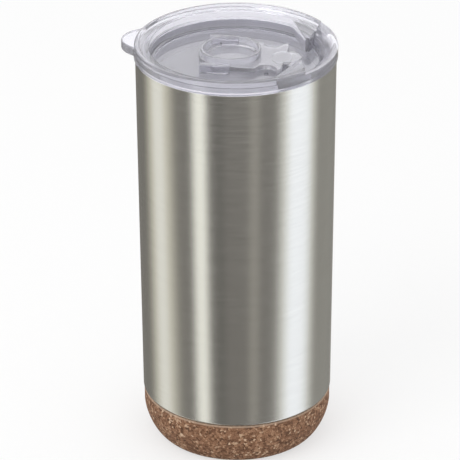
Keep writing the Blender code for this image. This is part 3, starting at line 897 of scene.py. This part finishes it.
# %% [markdown]
# The ring and its well are turned about their own middle and moved into place. A pocket under the nose
# takes the pad. The ring starts a little inside the plate, since two faces in one plane confuse a boolean.

# %% Build the slide
PAD_MARGIN = 0.0008
PAD_T = 0.0005
SLIDE_EDGE = 0.0003
RING_ROUND = 0.0006
WELL_CORNER_R = 0.0008


def finger_ring():
    """Solid round boss with a rounded top edge, placed under the finger."""
    low, top = slide_z + WELL_FLOOR + SUNK, slide_high.z
    section = [(0, top, 0), (RING_R, top, RING_ROUND), (RING_R, low, 0), (0, low, 0)]
    boss = lathe("ring", rounded(section, closed=False), closed=False)
    boss.location.x = RING_X
    return boss


def finger_well():
    """Cutter for the well inside the ring, flared at its mouth."""
    low = slide_z + WELL_FLOOR
    top = slide_high.z
    well_r = RING_R - RING_WALL
    flare = arc((well_r + RING_ROUND, top - RING_ROUND), RING_ROUND, 90, 180)
    corner = (well_r - WELL_CORNER_R, low + WELL_CORNER_R)
    section = [(0, top + PAST), (flare[0][0], top + PAST)] + flare
    section += arc(corner, WELL_CORNER_R, 0, -90) + [(0, low)]
    well = lathe("well", section, closed=False)
    well.location.x = RING_X
    return well


slide = prism("clear_slide", slide_outline(), slide_z, slide_top, SLIDE_EDGE)
apply_cut(slide, finger_ring(), "UNION")
apply_cut(slide, finger_well(), "DIFFERENCE")
pad_half = (SIP_HALF[0] + PAD_MARGIN, SIP_HALF[1] + PAD_MARGIN)
pocket_outline = oval(SIP_X, 0, pad_half[0] + GAP, pad_half[1] + GAP)
pocket = prism("pocket", pocket_outline, slide_z - PAST, slide_z + PAD_T + GAP)
apply_cut(slide, pocket, "DIFFERENCE")
finish_shading(slide)
dress(slide, slide_finish)
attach(slide, "closure")
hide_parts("slide")
print("slide:", len(slide.data.polygons), "faces")

# %% [markdown]
# ## Silicone seals
#
# A soft ring in the groove of the plug grips the liner, and a thin oval pad under the nose closes the sip
# hole. Silicone is cloudy: light passes in and comes out scattered. Part transmission with a high
# roughness gives that look, and a fine noise gives its dusty surface.

# %% Seals
SEAL_LIP_H = 0.0008
PAD_EDGE = 0.0001
SILICONE = (0.86, 0.87, 0.89)
SILICONE_CLARITY = 0.55
SILICONE_IOR = 1.41


def cloudy_silicone(name):
    """Cloudy white silicone rubber."""
    material, tree, shader = new_finish(name, SILICONE, 0.5)
    shader.inputs["Transmission Weight"].default_value = SILICONE_CLARITY
    shader.inputs["IOR"].default_value = SILICONE_IOR
    dust = stretched_noise(tree, (900, 900, 900), detail=3.0)
    tree.links.new(remap(tree, dust.outputs["Fac"], 0.38, 0.6), shader.inputs["Roughness"])
    add_bump(tree, shader, dust.outputs["Fac"], 0.1, 0.0001)
    return material


def seal_ring():
    """Ring with two soft lips."""
    low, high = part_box("lid_gasket")
    outer_r = high.x
    inner_r = plug_r - GROOVE_DEPTH + GAP
    middle = (low.z + high.z) / 2
    waist_r = (inner_r + outer_r) / 2
    corners = [(inner_r, high.z, TINY_R), (outer_r, high.z, 3 * TINY_R)]
    corners += [(outer_r, high.z - SEAL_LIP_H, 2 * TINY_R), (waist_r, middle, TINY_R)]
    corners += [(outer_r, low.z + SEAL_LIP_H, 2 * TINY_R), (outer_r, low.z, 3 * TINY_R)]
    corners += [(inner_r, low.z, TINY_R)]
    return lathe("seal_ring", rounded(corners, steps=3))


silicone_finish = cloudy_silicone("cloudy_silicone")
ring = seal_ring()
dress(ring, silicone_finish)
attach(ring, "seal")
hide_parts("lid_gasket")

pad = prism("sip_pad", oval(SIP_X, 0, *pad_half), slide_z, slide_z + PAD_T, PAD_EDGE)
dress(pad, silicone_finish)
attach(pad, "closure")
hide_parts("slide_pad")
print("seal ring and pad made")

# %% [markdown]
# ## Hidden pieces
#
# The base plate, the bead, the getter and the bond sit inside the cup, where no view reaches them. Their
# CAD solids have the right shape and stay as they are. They still get a finish each, because a part may
# be taken apart later.

# %% Finishes of the hidden pieces
GRAIN_SPREAD = 0.08


def grainy(name, colour, roughness, metallic, grain):
    """Plain surface with a fine grain in its roughness and its relief."""
    material, tree, shader = new_finish(name, colour, roughness, metallic)
    noise = stretched_noise(tree, (grain, grain, grain), detail=4.0)
    low, high = roughness - GRAIN_SPREAD, roughness + GRAIN_SPREAD
    tree.links.new(remap(tree, noise.outputs["Fac"], low, high, 0.3, 0.7), shader.inputs["Roughness"])
    add_bump(tree, shader, noise.outputs["Fac"], 0.2, 0.0001)
    return material


hidden = {
    "base_plate": grainy("pressed_steel", (0.42, 0.42, 0.42), 0.45, 1.0, 900),
    "vacuum_bead": grainy("solder_glass", (0.35, 0.38, 0.36), 0.20, 0.0, 1500),
    "getter_pill": grainy("getter_alloy", (0.16, 0.16, 0.17), 0.80, 0.4, 3000),
    "bond_disc": grainy("bonding_film", (0.80, 0.79, 0.74), 0.60, 0.0, 600),
}
for node, material in hidden.items():
    dress(frame["nodes"][node], material)
print("finishes on", ", ".join(hidden))

# %% [markdown]
# ## Floor
#
# A plain pale sheet carries the soft shadow. Part of what the camera sees on it, directly or through the
# clear lid, is a steady white, which keeps the background clean. The rest is lit like anything else, so the
# shadow stays.

# %% Lay the floor
FLOOR_SIZE = 8.0
FLOOR_DROP = 0.0002
STEADY_SHARE = 0.6


def floor_finish():
    """Pale matt sheet, steadier in the camera's eye than in the light."""
    material, tree, shader = new_finish("pale_sheet", (0.97, 0.97, 0.97), 0.9)
    shader.inputs["Specular IOR Level"].default_value = 0.0
    glow = add_node(tree, "ShaderNodeEmission", Color=(1, 1, 1, 1), Strength=1.0)
    path = tree.nodes.new("ShaderNodeLightPath")
    seen = add_up(tree, path.outputs["Is Camera Ray"], path.outputs["Is Transmission Ray"])
    blend = tree.nodes.new("ShaderNodeMixShader")
    output = tree.nodes["Material Output"]
    tree.links.new(remap(tree, seen, 0.0, STEADY_SHARE), blend.inputs["Fac"])
    tree.links.new(shader.outputs["BSDF"], blend.inputs[1])
    tree.links.new(glow.outputs["Emission"], blend.inputs[2])
    tree.links.new(blend.outputs["Shader"], output.inputs["Surface"])
    return material


shape = bmesh.new()
bmesh.ops.create_grid(shape, x_segments=8, y_segments=8, size=FLOOR_SIZE / 2)
floor = new_piece("floor", shape)
floor.location.z = cad_low.z - FLOOR_DROP
floor.visible_glossy = False
dress(floor, floor_finish())
print("floor laid at this height, in mm:", in_mm([floor.location.z]))

# %% [markdown]
# ## Studio light
#
# Polished and brushed metal has no look of its own: it shows the room. A product studio for steel is a
# grey room with a few tall soft boxes round the table, and each one becomes an upright streak on the
# body. The world draws that room for glossy rays only: a grey tone for every compass direction, with the
# soft boxes as brighter stretches and a white ceiling high above. The widest boxes have warm edges.
# Everything else is lit by an even white sky and one large soft lamp.

# %% Set the studio
CAMERA_AZIMUTH = 8.0
SOFT_BOXES = [
    # middle, half width and soft edge in degrees from the camera's side, then the tone
    (-101, 6, 22, (0.90, 0.91, 0.86)),
    (-43, 4, 8, (1.12, 1.14, 1.06)),
    (-20, 3, 7, (-0.07, -0.065, -0.06)),
    (21, 2, 7, (0.17, 0.165, 0.145)),
    (78, 12, 20, (1.16, 1.23, 1.33)),
    (128, 18, 10, (0.13, 0.135, 0.125)),
    (178, 6, 18, (0.30, 0.30, 0.28)),
]
ROOM_TONE = (0.235, 0.225, 0.205)
CEILING_TONE = (1.9, 1.9, 1.95)
CEILING_RANGE = (0.15, 0.45)
SKY_TONE = (0.90, 0.90, 0.90)
CLEAR_TONE = (0.96, 0.96, 0.97)
WHITE = (1.0, 1.0, 1.0)
WARM_SHARE = (0.64, 0.62, 0.53)
WIDE_EDGE = 20


def room_stops():
    """Tones round the room as (share of a turn, colour) stops, from -180 to 180 degrees."""
    stops = [(-180, ROOM_TONE)]
    for middle, half, edge, tone in SOFT_BOXES:
        bright = tuple(room + add for room, add in zip(ROOM_TONE, tone))
        warm = tuple(room + add * share for room, add, share in zip(ROOM_TONE, tone, WARM_SHARE))
        near, far = half + edge / 3, half + edge
        rise = [(middle - far, ROOM_TONE), (middle - near, warm), (middle - half, bright)]
        fall = [(middle + half, bright), (middle + near, warm), (middle + far, ROOM_TONE)]
        if edge < WIDE_EDGE:
            del rise[1], fall[1]
        stops += rise + fall
    stops.append((180, ROOM_TONE))
    return [((angle + 180) / 360, tone) for angle, tone in stops if -180 <= angle <= 180]


def compass_angle(tree):
    """Share of a turn of a ray's compass direction, with the camera's side at the middle."""
    place = tree.nodes.new("ShaderNodeTexCoord")
    turn = add_node(tree, "ShaderNodeVectorRotate")
    turn.rotation_type = "Z_AXIS"
    turn.inputs["Angle"].default_value = math.radians(90 - CAMERA_AZIMUTH)
    parts = tree.nodes.new("ShaderNodeSeparateXYZ")
    angle = add_node(tree, "ShaderNodeMath")
    angle.operation = "ARCTAN2"
    tree.links.new(place.outputs["Generated"], turn.inputs["Vector"])
    tree.links.new(turn.outputs["Vector"], parts.inputs["Vector"])
    tree.links.new(parts.outputs["Y"], angle.inputs[0])
    tree.links.new(parts.outputs["X"], angle.inputs[1])
    return remap(tree, angle.outputs["Value"], 0.0, 1.0, -math.pi, math.pi)


def ceiling_share(tree):
    """Zero below the horizon and one high up, for the white ceiling over the room."""
    place = tree.nodes.new("ShaderNodeTexCoord")
    parts = tree.nodes.new("ShaderNodeSeparateXYZ")
    tree.links.new(place.outputs["Generated"], parts.inputs["Vector"])
    return remap(tree, parts.outputs["Z"], 0.0, 1.0, *CEILING_RANGE)


def pick_light(tree, rays, for_rays, otherwise):
    """One colour for a kind of ray and another for the rest."""
    mix = tree.nodes.new("ShaderNodeMix")
    mix.data_type = "RGBA"
    tree.links.new(rays, mix.inputs["Factor"])
    for source, socket in ((otherwise, mix.inputs[6]), (for_rays, mix.inputs[7])):
        if isinstance(source, tuple):
            socket.default_value = (*source, 1)
        else:
            tree.links.new(source, socket)
    return mix.outputs[2]


def studio_world():
    """White sky with a grey room of soft boxes in it for glossy rays."""
    world = bpy.data.worlds.new("studio")
    world.use_nodes = True
    tree = world.node_tree
    room = colour_ramp(tree, compass_angle(tree), room_stops())
    rays = tree.nodes.new("ShaderNodeLightPath").outputs
    room = pick_light(tree, ceiling_share(tree), CEILING_TONE, room)
    light = pick_light(tree, rays["Is Glossy Ray"], room, SKY_TONE)
    light = pick_light(tree, rays["Is Transmission Ray"], CLEAR_TONE, light)
    light = pick_light(tree, rays["Is Camera Ray"], WHITE, light)
    tree.links.new(light, tree.nodes["Background"].inputs["Color"])
    return world


bpy.context.scene.world = studio_world()
print(len(SOFT_BOXES), "soft boxes in the room")

# %% [markdown]
# One large lamp on the left adds a soft direction to the light. It is hidden from glossy rays, so the steel
# shows the room and never the lamp's own square.

# %% Hang the lamp
LAMP_PLACE = (-0.5, -0.7, 0.9)
LAMP_SIZE = 0.7
LAMP_POWER = 3.0


def soft_lamp(name, place, aim, size, power):
    """Large square lamp that metal doesn't mirror."""
    light = bpy.data.lights.new(name, "AREA")
    light.size = size
    light.energy = power
    lamp = bpy.data.objects.new(name, light)
    lamp.location = place
    lamp.rotation_euler = (Vector(aim) - Vector(place)).to_track_quat("-Z", "Y").to_euler()
    lamp.visible_glossy = False
    bpy.context.scene.collection.objects.link(lamp)
    return lamp


heart = (cad_low + cad_high) / 2
soft_lamp("key_lamp", LAMP_PLACE, heart, LAMP_SIZE, LAMP_POWER)
print("lamp aimed at, in mm:", in_mm(heart))

# %% [markdown]
# ## Camera
#
# The cup is seen from a little above, through a long lens that keeps its sides almost parallel. The
# camera's place follows from an aim point on the axis, an angle round the cup, an angle above it and a
# distance. The aim is nudged sideways and up, which sets the cup in the frame.

# %% Place the camera
AIM_Z = 0.085
CAMERA_ELEVATION = 26.56
CAMERA_DISTANCE = 1.442
CAMERA_LENS = 281.5
AIM_SIDE = -0.0026
AIM_RISE = 0.0030
CAMERA_ROLL = -0.24


def place_camera():
    """Long-lens camera above the near side of the cup."""
    azimuth = math.radians(CAMERA_AZIMUTH)
    elevation = math.radians(CAMERA_ELEVATION)
    flat = math.cos(elevation)
    back = Vector((math.sin(azimuth) * flat, -math.cos(azimuth) * flat, math.sin(elevation)))
    across = Vector((math.cos(azimuth), math.sin(azimuth), 0))
    upward = back.cross(across)
    data = bpy.data.cameras.new("camera")
    data.lens = CAMERA_LENS
    camera = bpy.data.objects.new("camera", data)
    aim = Vector((0, 0, AIM_Z))
    nudge = across * AIM_SIDE + upward * AIM_RISE
    camera.location = aim + back * CAMERA_DISTANCE
    looking = (aim + nudge - camera.location).to_track_quat("-Z", "Y")
    roll = Matrix.Rotation(math.radians(CAMERA_ROLL), 4, "Z")
    camera.matrix_world = Matrix.Translation(camera.location) @ looking.to_matrix().to_4x4() @ roll
    bpy.context.scene.collection.objects.link(camera)
    return camera


scene = bpy.context.scene
scene.camera = place_camera()
scene.view_settings.view_transform = "Standard"
print("camera at, in mm:", in_mm(scene.camera.location))

# %% [markdown]
# ## Finish
#
# The pieces must not outgrow the CAD model. This cell only brings the view layer up to date.

# %% Update the view layer
bpy.context.view_layer.update()
